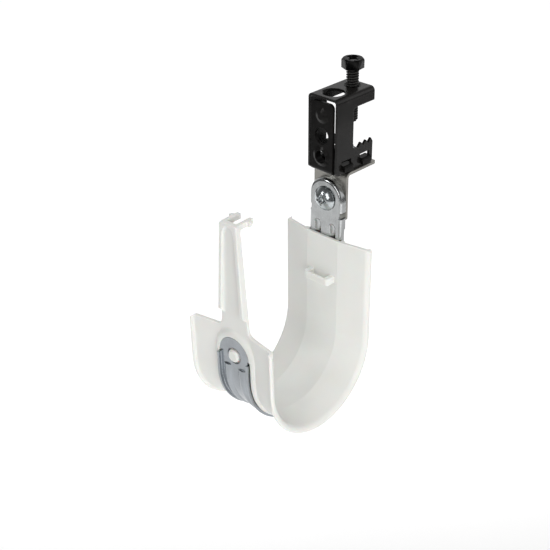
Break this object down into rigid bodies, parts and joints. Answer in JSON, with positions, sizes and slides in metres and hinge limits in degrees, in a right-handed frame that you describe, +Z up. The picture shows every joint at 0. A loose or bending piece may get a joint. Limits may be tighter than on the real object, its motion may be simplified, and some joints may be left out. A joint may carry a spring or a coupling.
{
  "type": "j hook cable support",
  "caption": "Beam clamp with a bracket that carries a swivelling J shaped hook, its wide moulded saddle and its snap latch, for bundles of data cable.",
  "frame": {"origin": "seat of the beam's flange: on the clamp's tooth tips, straight below its set screw, midway between its side walls", "axes": "+X along the cables, +Y from the hook's open side towards its back and out of the clamp's throat, +Z up along the set screw"},
  "size_m": [0.0552, 0.0947, 0.1745],
  "materials": {
    "black_coated_steel": "thin black coating, satin",
    "black_screw": "black oxide, slightly oily sheen",
    "zinc_screw": "bright zinc plate",
    "zinc_plate": "satin zinc plate",
    "galvanised_strip": "mill galvanised, fine rolling grain",
    "white_plastic": "soft satin moulding"
  },
  "bodies": {
    "clamp": {"clamp_frame": "black_coated_steel", "clamp_insert": "black_coated_steel", "clamp_screw": "zinc_screw"},
    "set_screw": {"set_screw": "black_screw"},
    "bracket": {"angle_bracket": "zinc_plate", "pivot_screw": "zinc_screw"},
    "hook": {"hook_strap": "galvanised_strip", "cable_saddle": "white_plastic"}
  },
  "joints": [
    {"name": "set_screw_travel", "type": "slide", "parent": "clamp", "child": "set_screw", "axis": [0, 0, 1], "range_m": [-0.0075, 0.0115]},
    {"name": "bracket_turn", "type": "hinge", "parent": "clamp", "child": "bracket", "pos_m": [0, -0.0015, -0.0136], "axis": [0, 0, 1], "continuous": true},
    {"name": "hook_swivel", "type": "hinge", "parent": "bracket", "child": "hook", "pos_m": [0, -0.0173, -0.0277], "axis": [0, 1, 0], "range_deg": [-90, 90]}
  ]
}
